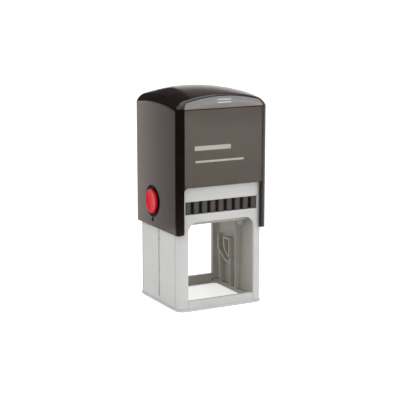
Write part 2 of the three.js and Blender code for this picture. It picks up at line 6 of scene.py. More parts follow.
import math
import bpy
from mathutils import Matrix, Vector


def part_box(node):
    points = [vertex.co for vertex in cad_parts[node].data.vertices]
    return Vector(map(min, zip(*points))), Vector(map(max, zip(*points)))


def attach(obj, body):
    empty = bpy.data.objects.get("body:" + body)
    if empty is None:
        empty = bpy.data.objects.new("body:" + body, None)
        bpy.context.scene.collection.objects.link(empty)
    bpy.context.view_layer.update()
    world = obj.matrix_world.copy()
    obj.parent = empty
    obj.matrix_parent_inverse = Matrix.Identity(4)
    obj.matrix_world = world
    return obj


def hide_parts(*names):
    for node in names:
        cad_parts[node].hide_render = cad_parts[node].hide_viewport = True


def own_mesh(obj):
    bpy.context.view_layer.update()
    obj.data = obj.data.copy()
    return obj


bl_info = {
    "name": "Self-inking stamp",
    "version": (1, 0, 0),
    "blender": (4, 5, 0),
    "location": "3D View > Sidebar > Stamp",
    "description": "Builds the fine pieces and finishes of a square self-inking stamp",
    "category": "Object",
}

import bmesh
import bpy
from mathutils import Vector

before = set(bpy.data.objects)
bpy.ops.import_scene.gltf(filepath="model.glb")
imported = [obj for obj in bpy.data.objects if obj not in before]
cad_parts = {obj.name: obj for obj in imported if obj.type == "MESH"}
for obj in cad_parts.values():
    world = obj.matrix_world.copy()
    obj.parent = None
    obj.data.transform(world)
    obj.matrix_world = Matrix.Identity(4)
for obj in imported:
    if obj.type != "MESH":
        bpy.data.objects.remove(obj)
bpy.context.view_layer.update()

MM = 0.001


def box_mm(node):
    """Lowest and highest corner of a node of the frame, in millimetres."""
    low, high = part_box(node)
    return [v / MM for v in low], [v / MM for v in high]


CAP_LOW, CAP_HIGH = box_mm("cap_shell")
BUTTON_LOW, BUTTON_HIGH = box_mm("right_lock_button")
LABEL_LOW = box_mm("front_label")[0]
COVER_LOW, COVER_HIGH = box_mm("front_cover")
SPRING_LOW, SPRING_HIGH = box_mm("right_spring")
PAD_LOW, PAD_HIGH = box_mm("ink_pad")
TRAY_LOW = box_mm("ink_tray")[0]

# The inside of the base frame, where shade is painted in darker and warmer: half width, half depth and top.
INSIDE_X, INSIDE_Y, INSIDE_TOP = 24.2, 23.4, 54.0

# The cap: radii of its arched top, the shoulders at the front and back, the rounds and the walls.
DOME_X, DOME_Y = 84.0, 140.0
SHOULDER, SHOULDER_TURN = 5.2, math.radians(81.0)
SIDE_ROUND, CAVITY_ROUND = 4.6, 2.0
CORNER, CAVITY_CORNER, SKIRT_ROUND = 4.4, 4.75, 2.2
WALL_X, WALL_Y = 1.15, 2.65
GATE_ROUND = 2.0
CAP_HALF_X, CAP_HALF_Y = CAP_HIGH[0], CAP_HIGH[1]
SKIRT_Z, CAP_TOP = CAP_LOW[2], CAP_HIGH[2]
SHOULDER_Y = CAP_HALF_Y - SHOULDER
PAST = 2.0  # how far a cutting body reaches past what it cuts

# The clear cover: its gaps, its depth, its upper corners, its two pull ribs and its frosted band, with its
# dark line and the height above which a cool reflection is painted.
COVER_GAP, SEAM_GAP = 0.2, 0.55
COVER_DEPTH, RECESS_DEPTH = 1.1, 1.45
COVER_CORNER, COVER_CORNER_Z = 5.0, 110.5
COVER_SEAM_TURN = math.radians(56.0)
PULL_RIB_HALF, PULL_RIB_PROUD, PULL_RIB_RADIUS = 4.3, 0.28, 0.3
PULL_RIB_RISE, PULL_RIB_PITCH = 0.7, 1.5
BAND_LOW, BAND_LINE, BAND_COOL = 111.3, 0.65, 3.4

# The lock buttons, with the hollow and the peep hole in the cap.
BUTTON_Y = (BUTTON_LOW[1] + BUTTON_HIGH[1]) / 2
BUTTON_Z = (BUTTON_LOW[2] + BUTTON_HIGH[2]) / 2
BUTTON_R = (BUTTON_HIGH[1] - BUTTON_LOW[1]) / 2
BUTTON_THICK, BUTTON_STEM = 1.3, 5.4
TRACK_Y = -0.4
TONGUE_HALF_Y, TONGUE_HALF_Z, TONGUE_THICK, NECK_HALF_Z = 0.4, 4.0, 0.4, 1.4
DISH_R, DISH_DEPTH = 9.0, 0.55
HOLE_R = 5.7
PEEP_R, PEEP_DROP, PEEP_FUNNEL = 1.1, 10.5, 0.3

# The finger ribs on the end of the ink tray: their upright rounds and the depths between which shade is
# painted into the grooves.
RIB_ROUND = 0.85
GROOVE_SHADE = (0.75, 2.4)


# ---- Settings a user may change ------------------------------------------------------------------


def colour(name, description, default):
    return bpy.props.FloatVectorProperty(
        name=name, description=description, default=default, size=3, min=0.0, max=1.0, subtype="COLOR"
    )


def length(name, description, default_mm):
    return bpy.props.FloatProperty(
        name=name,
        description=description,
        default=default_mm * MM,
        min=0.0,
        unit="LENGTH",
        subtype="DISTANCE",
    )


class STAMP_PG_sizes(bpy.types.PropertyGroup):
    """Sizes of the fine detail."""

    moulded_edge: length("Moulded edge", "Round of the edges of the grey and black mouldings", 0.28)
    small_edge: length("Small edge", "Round of the edges of the small pieces", 0.12)
    wire: length("Spring wire", "Diameter of the spring's wire", 0.9)
    felt_grain: length("Felt grain", "Size of the felt's fibres", 0.35)
    button_dish: length("Button dish", "Depth of the hollow in the lock button's face", 0.45)


class STAMP_PG_colours(bpy.types.PropertyGroup):
    """Colours of the finishes."""

    grey: colour("Grey plastic", "The base frame, foot ring, bridge and platen", (0.54, 0.545, 0.533))
    black: colour("Black plastic", "The glossy cap", (0.0075, 0.0048, 0.0038))
    tray: colour("Tray plastic", "The ink tray", (0.066, 0.056, 0.050))
    red: colour("Red plastic", "The lock buttons", (0.56, 0.008, 0.022))
    card: colour("Label card", "The dark card behind the clear cover", (0.120, 0.098, 0.080))
    ink: colour("Ink", "The soaked felt", (0.010, 0.010, 0.030))
    rubber: colour("Rubber", "The text plate", (0.36, 0.13, 0.085))


# ---- Finishes ------------------------------------------------------------------------------------


class Finish:
    """A material in the making: its nodes, its shader and its object coordinates."""

    def __init__(self, name, base, roughness):
        self.material = bpy.data.materials.new(name)
        self.material.use_nodes = True
        self.tree = self.material.node_tree
        self.shader = self.tree.nodes["Principled BSDF"]
        self.shader.inputs["Base Color"].default_value = (*base, 1.0)
        self.shader.inputs["Roughness"].default_value = roughness
        self.base = tuple(base)
        self.where = self.tree.nodes.new("ShaderNodeTexCoord").outputs["Object"]

    def node(self, kind, **values):
        made = self.tree.nodes.new(kind)
        for key, value in values.items():
            setattr(made, key, value)
        return made

    def link(self, out, into):
        self.tree.links.new(out, into)
        return into

    def noise(self, size_mm, detail=3.0, roughness=0.55, stretch=(1.0, 1.0, 1.0)):
        """Noise whose cells are about size_mm across."""
        scaled = self.node("ShaderNodeMapping")
        scaled.inputs["Scale"].default_value = [s / (size_mm * MM) for s in stretch]
        self.link(self.where, scaled.inputs["Vector"])
        noise = self.node("ShaderNodeTexNoise")
        noise.inputs["Scale"].default_value = 1.0
        noise.inputs["Detail"].default_value = detail
        noise.inputs["Roughness"].default_value = roughness
        self.link(scaled.outputs["Vector"], noise.inputs["Vector"])
        return noise.outputs["Fac"]

    def ranged(self, value, low, high, from_low=0.3, from_high=0.7):
        span = self.node("ShaderNodeMapRange")
        for key, number in (
            ("From Min", from_low),
            ("From Max", from_high),
            ("To Min", low),
            ("To Max", high),
        ):
            span.inputs[key].default_value = number
        self.link(value, span.inputs["Value"])
        return span.outputs["Result"]

    def vary_roughness(self, size_mm, low, high, stretch=(1.0, 1.0, 1.0)):
        value = self.ranged(self.noise(size_mm, stretch=stretch), low, high)
        self.link(value, self.shader.inputs["Roughness"])

    def mixed(self, factor, first, second):
        """Two colours, or a colour output and a colour, mixed by a factor."""
        mix = self.node("ShaderNodeMix", data_type="RGBA")
        self.link(factor, mix.inputs["Factor"])
        for socket, value in ((mix.inputs[6], first), (mix.inputs[7], second)):
            if hasattr(value, "is_linked"):
                self.link(value, socket)
            else:
                socket.default_value = (*value, 1.0)
        return mix.outputs[2]

    def vary_colour(self, size_mm, share, stretch=(1.0, 1.0, 1.0)):
        """The base colour, lighter and darker by a share of itself."""
        darker = [c * (1.0 - share) for c in self.base]
        lighter = [min(1.0, c * (1.0 + share)) for c in self.base]
        shade = self.mixed(self.ranged(self.noise(size_mm, stretch=stretch), 0.0, 1.0), darker, lighter)
        self.link(shade, self.shader.inputs["Base Color"])
        return shade

    def bump(self, heights, depth_mm):
        """Relief of the given depth from one or more height outputs."""
        total = heights[0]
        for extra in heights[1:]:
            add = self.node("ShaderNodeMath", operation="ADD")
            self.link(total, add.inputs[0])
            self.link(extra, add.inputs[1])
            total = add.outputs[0]
        relief = self.node("ShaderNodeBump")
        relief.inputs["Distance"].default_value = depth_mm * MM
        relief.inputs["Strength"].default_value = 1.0
        self.link(total, relief.inputs["Height"])
        self.link(relief.outputs["Normal"], self.shader.inputs["Normal"])

    def between(self, axis, low_mm, high_mm, soft_mm=0.05):
        """1 where the object coordinate along an axis is between two places, 0 elsewhere."""
        split = self.node("ShaderNodeSeparateXYZ")
        self.link(self.where, split.inputs[0])
        along = split.outputs[axis]
        rise = self.ranged(along, 0.0, 1.0, (low_mm - soft_mm) * MM, (low_mm + soft_mm) * MM)
        fall = self.ranged(along, 1.0, 0.0, (high_mm - soft_mm) * MM, (high_mm + soft_mm) * MM)
        return self.product(rise, fall)

    def product(self, first, second):
        times = self.node("ShaderNodeMath", operation="MULTIPLY")
        self.link(first, times.inputs[0])
        self.link(second, times.inputs[1])
        return times.outputs[0]


_finishes = {}


def finish_of(name):
    """The finish of that name, made at its first use."""
    if name not in _finishes:
        _finishes[name] = FINISHES[name](bpy.context.scene.stamp_colours)
    return _finishes[name]


def grey_plastic(colours):
    """Satin grey moulding: fine spark-eroded grain, faint flow shading, and blotchy painted shade, darker
    and warmer, inside the frame.
    """
    made = Finish("grey_plastic", colours.grey, 0.5)
    shade = made.vary_colour(16.0, 0.035)
    # Painted shade: a blotchy, darker and warmer tone inside the frame stands in for its shade.
    inside = made.product(
        made.between("X", -INSIDE_X, INSIDE_X, 0.15),
        made.product(made.between("Y", -INSIDE_Y, INSIDE_Y, 0.15), made.between("Z", 1.0, INSIDE_TOP, 1.5)),
    )
    inside_painted_shade = made.product(inside, made.ranged(made.noise(11.0, detail=4.0), 0.55, 1.0))
    inside_shade_colour = [share * part for share, part in zip((0.84, 0.78, 0.70), colours.grey)]
    made.link(made.mixed(inside_painted_shade, shade, inside_shade_colour), made.shader.inputs["Base Color"])
    made.vary_roughness(2.5, 0.40, 0.56)
    made.bump([made.noise(0.22, detail=2.0)], 0.006)
    return made.material


def black_gloss(colours):
    """Polished black-brown moulding with a clear skin and the faint waviness of a moulded wall."""
    made = Finish("black_gloss", colours.black, 0.2)
    made.vary_colour(9.0, 0.12)
    made.vary_roughness(3.0, 0.13, 0.20)
    made.bump([made.noise(7.0, detail=1.0)], 0.012)
    made.shader.inputs["IOR"].default_value = 1.54
    made.shader.inputs["Specular Tint"].default_value = (1.0, 0.90, 0.84, 1.0)
    made.shader.inputs["Coat Weight"].default_value = 0.25
    made.shader.inputs["Coat Roughness"].default_value = 0.06
    made.shader.inputs["Coat IOR"].default_value = 1.5
    return made.material


def recess_painted_shade(_colours):
    """Painted shade for the hollows round the buttons and the peep holes: a darker, duller textured black
    that stands in for the shade in them.
    """
    made = Finish("recess_painted_shade", (0.003, 0.0025, 0.0025), 0.6)
    made.vary_colour(1.5, 0.2)
    made.vary_roughness(0.8, 0.5, 0.7)
    made.bump([made.noise(0.2, detail=2.0)], 0.008)
    made.shader.inputs["Specular IOR Level"].default_value = 0.12
    return made.material


def black_matt(colours):
    """Satin dark moulding of the ink tray, with painted shade between its finger ribs."""
    made = Finish("black_matt", colours.tray, 0.45)
    shade = made.vary_colour(5.0, 0.08)
    near, far = (TRAY_LOW[1] + depth for depth in GROOVE_SHADE)
    # Painted shade: the grooves between the finger ribs are coloured near black.
    groove = made.product(made.between("Y", near, far, 0.35), made.between("Z", 50.0, 64.0))
    made.link(made.mixed(groove, shade, (0.003, 0.0025, 0.0025)), made.shader.inputs["Base Color"])
    made.vary_roughness(1.5, 0.34, 0.5)
    made.bump([made.noise(0.2, detail=2.0)], 0.006)
    return made.material


def red_plastic(colours):
    """Polished red moulding."""
    made = Finish("red_plastic", colours.red, 0.3)
    made.vary_colour(3.0, 0.06)
    made.vary_roughness(1.5, 0.24, 0.34)
    made.bump([made.noise(2.5, detail=1.0)], 0.0015)
    made.shader.inputs["Specular IOR Level"].default_value = 0.1
    made.shader.inputs["Specular Tint"].default_value = (1.0, 0.72, 0.72, 1.0)
    return made.material


def clear_plastic(_colours):
    """Clear cover, faintly smoky, with a dark line and a frosted band along its rolled upper edge, and a
    painted reflection that turns the band cooler towards its top.
    """
    smoke = (0.90, 0.865, 0.825)
    made = Finish("clear_plastic", smoke, 0.05)
    over_all = CAP_TOP + 5.0
    band = made.between("Z", BAND_LOW - BAND_LINE, over_all, 0.06)
    line = made.between("Z", BAND_LOW - BAND_LINE, BAND_LOW, 0.06)
    # Painted reflection: the upper part of the frosted band is tinted cool.
    cool_painted_reflection = made.between("Z", BAND_LOW + BAND_COOL, over_all, 1.6)
    frost = made.mixed(cool_painted_reflection, (0.235, 0.207, 0.188), (0.20, 0.207, 0.228))
    shade = made.mixed(band, smoke, frost)
    made.link(made.mixed(line, shade, (0.004, 0.003, 0.003)), made.shader.inputs["Base Color"])
    fine = made.ranged(made.noise(1.2), 0.03, 0.07)
    frosted = made.node("ShaderNodeMix", data_type="FLOAT")
    made.link(band, frosted.inputs["Factor"])
    made.link(fine, frosted.inputs[2])
    frosted.inputs[3].default_value = 0.32
    made.link(frosted.outputs[0], made.shader.inputs["Roughness"])
    see_through = made.ranged(band, 1.0, 0.12, 0.0, 1.0)
    made.link(see_through, made.shader.inputs["Transmission Weight"])
    made.shader.inputs["IOR"].default_value = 1.49
    made.bump([made.noise(9.0, detail=1.0)], 0.008)
    return made.material


def clear_rib_painted_highlight(_colours):
    """The cover's small pull ribs, smoother than the frosted band, with a painted highlight: a base colour
    much lighter than the band's.
    """
    made = Finish("clear_rib_painted_highlight", (0.66, 0.60, 0.56), 0.25)
    made.vary_colour(0.8, 0.08)
    made.vary_roughness(0.8, 0.18, 0.32)
    return made.material


def label_card(colours):
    """Dark uncoated card with paper fibres, and two plain bars as its only print."""
    made = Finish("label_card", colours.card, 0.6)
    shade = made.vary_colour(0.3, 0.02, stretch=(1.0, 1.0, 0.35))
    left, bottom = LABEL_LOW[0] + 6.2, LABEL_LOW[2] + 13.0
    wide_bar = (left, left + 22.0, bottom + 6.6, bottom + 9.0)
    thin_bar = (left + 0.4, left + 30.0, bottom, bottom + 1.1)
    for left, right, low, high in (wide_bar, thin_bar):
        print_here = made.product(made.between("X", left, right), made.between("Z", low, high))
        shade = made.mixed(print_here, shade, (0.92, 0.92, 0.90))
    made.link(shade, made.shader.inputs["Base Color"])
    made.vary_roughness(0.8, 0.5, 0.68)
    made.bump([made.noise(0.12, detail=4.0)], 0.0004)
    return made.material


def steel(_colours):
    """Drawn wire: bright, with fine draw marks."""
    made = Finish("steel", (0.60, 0.60, 0.61), 0.28)
    made.shader.inputs["Metallic"].default_value = 1.0
    made.vary_colour(1.5, 0.10)
    made.vary_roughness(0.6, 0.2, 0.36)
    made.bump([made.noise(0.12, detail=2.0, stretch=(1.0, 1.0, 3.0))], 0.004)
    return made.material


def rubber(colours):
    """Laser-cut rubber: dull, with the fine lines the beam leaves and traces of ink."""
    made = Finish("rubber", colours.rubber, 0.7)
    shade = made.vary_colour(2.0, 0.14)
    stained = made.ranged(made.noise(5.0, detail=4.0), 0.0, 0.75, 0.42, 0.62)
    made.link(made.mixed(stained, shade, (0.020, 0.018, 0.045)), made.shader.inputs["Base Color"])
    made.vary_roughness(1.0, 0.55, 0.8)
    made.bump([made.noise(0.25, stretch=(0.15, 1.0, 1.0)), made.noise(0.1)], 0.02)
    return made.material


def foam(_colours):
    """Closed-cell foam: pale, dull and finely pitted."""
    made = Finish("foam", (0.62, 0.58, 0.49), 0.9)
    made.vary_colour(1.5, 0.08)
    cells = made.node("ShaderNodeTexVoronoi")
    cells.inputs["Scale"].default_value = 1.0 / (0.3 * MM)
    made.link(made.where, cells.inputs["Vector"])
    made.bump([cells.outputs["Distance"]], 0.05)
    return made.material


def ink_felt(colours):
    """Felt soaked with ink: dark fibres with a wet gleam in places."""
    grain = bpy.context.scene.stamp_sizes.felt_grain / MM
    made = Finish("ink_felt", colours.ink, 0.6)
    made.vary_colour(grain, 0.5)
    made.vary_roughness(4.0, 0.35, 0.85)
    made.bump([made.noise(grain, detail=5.0, roughness=0.7)], 0.12)
    made.shader.inputs["Sheen Weight"].default_value = 0.15
    return made.material


def paper_floor(_colours):
    """Pale matt table with a very fine tooth, lifted to white for the camera alone."""
    made = Finish("paper_floor", (0.90, 0.90, 0.895), 0.75)
    made.vary_colour(60.0, 0.006)
    made.bump([made.noise(0.4)], 0.01)
    seen = made.node("ShaderNodeLightPath").outputs["Is Camera Ray"]
    made.shader.inputs["Emission Color"].default_value = (1.0, 1.0, 1.0, 1.0)
    made.link(made.ranged(seen, 0.0, 0.5, 0.0, 1.0), made.shader.inputs["Emission Strength"])
    return made.material


FINISHES = {
    made.__name__: made
    for made in (
        grey_plastic,
        black_gloss,
        recess_painted_shade,
        black_matt,
        red_plastic,
        clear_plastic,
        clear_rib_painted_highlight,
        label_card,
        steel,
        rubber,
        foam,
        ink_felt,
        paper_floor,
    )
}


# ---- Making meshes -------------------------------------------------------------------------------


def mesh_object(name, vertices_mm, faces):
    """A new object from vertices in millimetres, with its faces turned outwards."""
    mesh = bpy.data.meshes.new(name)
    mesh.from_pydata([[v * MM for v in vertex] for vertex in vertices_mm], [], faces)
    work = bmesh.new()
    work.from_mesh(mesh)
    bmesh.ops.remove_doubles(work, verts=work.verts, dist=1e-7)
    bmesh.ops.recalc_face_normals(work, faces=work.faces)
    work.to_mesh(mesh)
    work.free()
    made = bpy.data.objects.new(name, mesh)
    bpy.context.scene.collection.objects.link(made)
    return made


def rings_object(name, rings):
    """A closed skin over rings of the same number of points, with a cap over the first and the last."""
    count = len(rings[0])
    faces = [tuple(range(count))[::-1]]
    for r in range(len(rings) - 1):
        low, high = r * count, (r + 1) * count
        faces += [(low + i, low + (i + 1) % count, high + (i + 1) % count, high + i) for i in range(count)]
    faces.append(tuple(range((len(rings) - 1) * count, len(rings) * count)))
    return mesh_object(name, [point for ring in rings for point in ring], faces)


def block(name, low, high):
    """A plain box to cut or join with, never left as it is."""
    ring = [(low[0], low[1]), (high[0], low[1]), (high[0], high[1]), (low[0], high[1])]
    return rings_object(name, [[(x, y, z) for x, y in ring] for z in (low[2], high[2])])


def turned(name, profile, centre, axis="X", sides=64):
    """A body of revolution about an axis through centre. The profile is (distance along, radius)."""
    order = {"X": (0, 1, 2), "Y": (1, 2, 0), "Z": (2, 0, 1)}[axis]
    rings = []
    for along, radius in profile:
        ring = []
        for i in range(sides):
            turn = 2 * math.pi * i / sides
            point = list(centre)
            point[order[0]] += along
            point[order[1]] += radius * math.cos(turn)
            point[order[2]] += radius * math.sin(turn)
            ring.append(tuple(point))
        rings.append(ring)
    return rings_object(name, rings)


def applied(obj):
    """The object with its modifiers made part of its mesh."""
    bpy.context.view_layer.update()
    seen = obj.evaluated_get(bpy.context.evaluated_depsgraph_get())
    mesh = bpy.data.meshes.new_from_object(seen)
    obj.modifiers.clear()
    obj.data = mesh
    return obj


def combine(obj, others, operation="DIFFERENCE"):
    """obj joined with, or cut by, each of the others, which are used up."""
    for other in others:
        step = obj.modifiers.new("combine", "BOOLEAN")
        step.operation = operation
        step.solver = "EXACT"
        step.object = other
        applied(obj)
        bpy.data.objects.remove(other)
    return obj


def merge_flat(obj, degrees=0.4):
    """Joins triangles that lie in one plane, so that bevels run clean."""
    work = bmesh.new()
    work.from_mesh(obj.data)
    bmesh.ops.remove_doubles(work, verts=work.verts, dist=2e-6)
    bmesh.ops.dissolve_limit(
        work,
        angle_limit=math.radians(degrees),
        verts=work.verts,
        edges=work.edges,
        use_dissolve_boundaries=False,
    )
    work.to_mesh(obj.data)
    work.free()
    return obj


def soften(obj, edge, angle=34.0, segments=3, smooth=38.0):
    """Rounds the edges that are sharper than an angle, and shades the rest smooth."""
    bevel = obj.modifiers.new("edges", "BEVEL")
    bevel.width = edge
    bevel.segments = segments
    bevel.limit_method = "ANGLE"
    bevel.angle_limit = math.radians(angle)
    bevel.use_clamp_overlap = True
    bevel.miter_outer = "MITER_ARC"
    applied(obj)
    obj.data.shade_smooth()
    obj.data.set_sharp_from_angle(angle=math.radians(smooth))
    weighted = obj.modifiers.new("normals", "WEIGHTED_NORMAL")
    weighted.keep_sharp = True
    weighted.weight = 80
    return applied(obj)


def copy_of(node, name):
    """A new object with the shape of a node of the frame."""
    made = bpy.data.objects.new(name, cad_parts[node].data.copy())
    bpy.context.scene.collection.objects.link(made)
    return merge_flat(made)


def dress(obj, finish):
    obj.data.materials.clear()
    obj.data.materials.append(finish_of(finish))


def seat(obj, node, body, finish):
    """Puts a finished piece in the place of a node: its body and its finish."""
    dress(obj, finish)
    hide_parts(node)
    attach(obj, body)
    return obj


# ---- The cap's form ------------------------------------------------------------------------------


def ridge(y):
    """Height of the cap's top in the middle plane."""
    return CAP_TOP - y * y / (2 * DOME_Y)


SHOULDER_Z = ridge(SHOULDER_Y + SHOULDER * math.cos(SHOULDER_TURN)) - SHOULDER * math.sin(SHOULDER_TURN)


def side_outline(inset, bottom, arc=14, chords=20):
    """Side view of the cap in Y and Z, taken inwards by inset."""
    half = CAP_HALF_Y - inset
    radius = SHOULDER - inset
    turns = [SHOULDER_TURN * i / arc for i in range(arc + 1)]
    front = [(SHOULDER_Y + radius * math.cos(t), SHOULDER_Z + radius * math.sin(t)) for t in turns]
    end = front[-1][0]
    top = []
    for i in range(1, chords):
        y = end * (1 - 2 * i / chords)
        top.append((y, ridge(y) - inset))
    back = [(-y, z) for y, z in reversed(front)]
    return [(-half, bottom), (half, bottom)] + front + top + back


def cap_form(name, inset_x, inset_y, bottom, radius=None, stations=56):
    """The cap as a full body: its side view run from side to side, sinking with the arched front view."""
    half = CAP_HALF_X - inset_x
    radius = radius or SIDE_ROUND - inset_x
    outline = side_outline(inset_y, bottom)
    rings = []
    for i in range(stations + 1):
        x = half * math.sin(math.pi / 2 * (2 * i / stations - 1))
        into = max(0.0, abs(x) - (half - radius))
        sink = x * x / (2 * DOME_X) + radius - math.sqrt(max(0.0, radius**2 - into**2))
        rings.append([(x, y, z - sink if z > bottom + 1 else z) for y, z in outline])
    return rings_object(name, rings)


def rounded_ring(half_a, half_b, radius, steps=10):
    """Outline of a rounded rectangle as points."""
    points = []
    for quarter, (sign_a, sign_b) in enumerate(((1, 1), (-1, 1), (-1, -1), (1, -1))):
        for i in range(steps + 1):
            turn = math.pi / 2 * (quarter + i / steps)
            points.append(
                (
                    sign_a * (half_a - radius) + radius * math.cos(turn),
                    sign_b * (half_b - radius) + radius * math.sin(turn),
                )
            )
    return points


def column(name, half_x, half_y, radius, low, high):
    """A column with rounded corners along Z."""
    ring = rounded_ring(half_x, half_y, radius)
    return rings_object(name, [[(x, y, z) for x, y in ring] for z in (low, high)])


def front_prism(name, outline, y0, y1):
    """An outline in X and Z taken from y0 to y1."""
    return rings_object(name, [[(x, y, z) for x, z in outline] for y in (y0, y1)])


def side_prism(name, outline, x0, x1):
    """An outline in Y and Z taken from x0 to x1."""
    return rings_object(name, [[(x, y, z) for y, z in outline] for x in (x0, x1)])


COVER_HALF_X = COVER_HIGH[0] + COVER_GAP
FACE_BOTTOM = COVER_LOW[2] - COVER_GAP
SEAM_Y = SHOULDER_Y + SHOULDER * math.cos(COVER_SEAM_TURN)


def cover_outline(gap, steps=12):
    """Front view of the cover in X and Z, taken inwards by gap."""
    half, radius = COVER_HALF_X - gap, COVER_CORNER - gap
    turns = [math.radians(75.0) * i / steps for i in range(steps + 1)]
    right = [(half - radius + radius * math.cos(t), COVER_CORNER_Z + radius * math.sin(t)) for t in turns]
    left = [(-x, z) for x, z in reversed(right)]
    bottom = FACE_BOTTOM + gap
    return [(-half, bottom), (half, bottom)] + right + [(0.0, CAP_TOP)] + left


def cover_zone(name, depth, gap, seam_gap=0.0):
    """All in front of a depth under the cap's surface, within the cover's outline and below its seam."""
    zone = front_prism(name, cover_outline(gap), -2 * CAP_HALF_Y, -SEAM_Y - seam_gap)
    return combine(zone, [cap_form("inner", depth, depth, SKIRT_Z - PAST)])


def turned_round(obj):
    """The same piece at the back: turned half round about Z."""
    for vertex in obj.data.vertices:
        vertex.co = Vector((-vertex.co.x, -vertex.co.y, vertex.co.z))
    return obj


def mirrored(obj):
    """The same piece at the other side, across the middle plane."""
    work = bmesh.new()
    work.from_mesh(obj.data)
    for vertex in work.verts:
        vertex.co.x = -vertex.co.x
    bmesh.ops.reverse_faces(work, faces=work.faces)
    work.to_mesh(obj.data)
    work.free()
    return obj


class STAMP_OT_cap(bpy.types.Operator):
    """The glossy cap: arched top, round shoulders, recess for the cover, dishes for the buttons."""

    bl_idname = "stamp.cap"
    bl_label = "Cap"

    def execute(self, context):
        cap = cap_form("cap", 0.0, 0.0, SKIRT_Z)
        low, high = SKIRT_Z - 1.5 * PAST, CAP_TOP + 1.5 * PAST
        plan = column("plan", CAP_HALF_X, CAP_HALF_Y, CORNER, low, high)
        combine(cap, [plan], "INTERSECT")
        height = CAP_TOP - SKIRT_Z
        skirt = [(y, z + SKIRT_Z + height) for y, z in rounded_ring(CAP_HALF_Y, height, SKIRT_ROUND)]
        combine(cap, [side_prism("skirt", skirt, -CAP_HALF_X - PAST, CAP_HALF_X + PAST)], "INTERSECT")

        cavity = cap_form("cavity", WALL_X, WALL_Y, SKIRT_Z - PAST, CAVITY_ROUND)
        inner_x, inner_y = CAP_HALF_X - WALL_X, CAP_HALF_Y - WALL_Y
        combine(cavity, [column("plan", inner_x, inner_y, CAVITY_CORNER, low, high)], "INTERSECT")
        middle, half = (FACE_BOTTOM + low) / 2, (FACE_BOTTOM - low) / 2
        gate = [(x, z + middle) for x, z in rounded_ring(COVER_HALF_X, half, GATE_ROUND)]
        gate = front_prism("gate", gate, -2 * CAP_HALF_Y, 2 * CAP_HALF_Y)
        recess = cover_zone("recess", RECESS_DEPTH, 0.0)
        cuts = [cavity, gate, recess, turned_round(cover_zone("recess", RECESS_DEPTH, 0.0))]
        for side in (1, -1):
            cuts += [self.dish(side), self.hole(side), self.peep_hole(side)]
        combine(cap, cuts)
        merge_flat(cap, 0.2)
        soften(cap, context.scene.stamp_sizes.moulded_edge)
        seat(cap, "cap_shell", "cap", "black_gloss")
        # The second material paints shade into the button dishes and the peep holes.
        cap.data.materials.append(finish_of("recess_painted_shade"))
        self.paint_shade_in_hollows(cap)
        return {"FINISHED"}

    def dish(self, side):
        """The shallow hollow round a button. Each step is (share of the depth, radius beyond the dish's)."""
        inner = HOLE_R - 0.5 - DISH_R
        steps = ((1.0, inner), (1.0, -2.6), (0.88, -1.8), (0.6, -1.1), (0.3, -0.5), (0.0, 0.0))
        profile = [(side * (CAP_HALF_X - DISH_DEPTH * deep), DISH_R + out) for deep, out in steps]
        profile.append((side * (CAP_HALF_X + 1), DISH_R + 1.7))
        return turned("dish", profile, (0, BUTTON_Y, BUTTON_Z), sides=96)

    def hole(self, side):
        """The hole for a button's stem."""
        profile = [(side * (CAP_HALF_X - 3), HOLE_R), (side * (CAP_HALF_X + 2), HOLE_R)]
        return turned("hole", profile, (0, BUTTON_Y, BUTTON_Z), sides=48)

    def peep_hole(self, side):
        """The small hole under a button, with its widened mouth."""
        funnel = ((-3.0, 0.0), (-0.6, 0.0), (0.0, PEEP_FUNNEL), (2.0, PEEP_FUNNEL + 1.0))
        profile = [(side * (CAP_HALF_X + along), PEEP_R + wider) for along, wider in funnel]
        return turned("peep", profile, (0, BUTTON_Y, BUTTON_Z - PEEP_DROP), sides=32)

    def paint_shade_in_hollows(self, cap):
        """Gives the faces of the dishes and the peep holes the second material, which paints shade into
        them.
        """
        spots = ((BUTTON_Z, DISH_R + 0.05), (BUTTON_Z - PEEP_DROP, PEEP_R + 0.15))
        for face in cap.data.polygons:
            points = [cap.data.vertices[i].co / MM for i in face.vertices]
            if min(abs(point.x) for point in points) < CAP_HALF_X - WALL_X - 0.1:
                continue
            for centre, radius in spots:
                if all(math.hypot(point.y - BUTTON_Y, point.z - centre) < radius for point in points):
                    face.material_index = 1


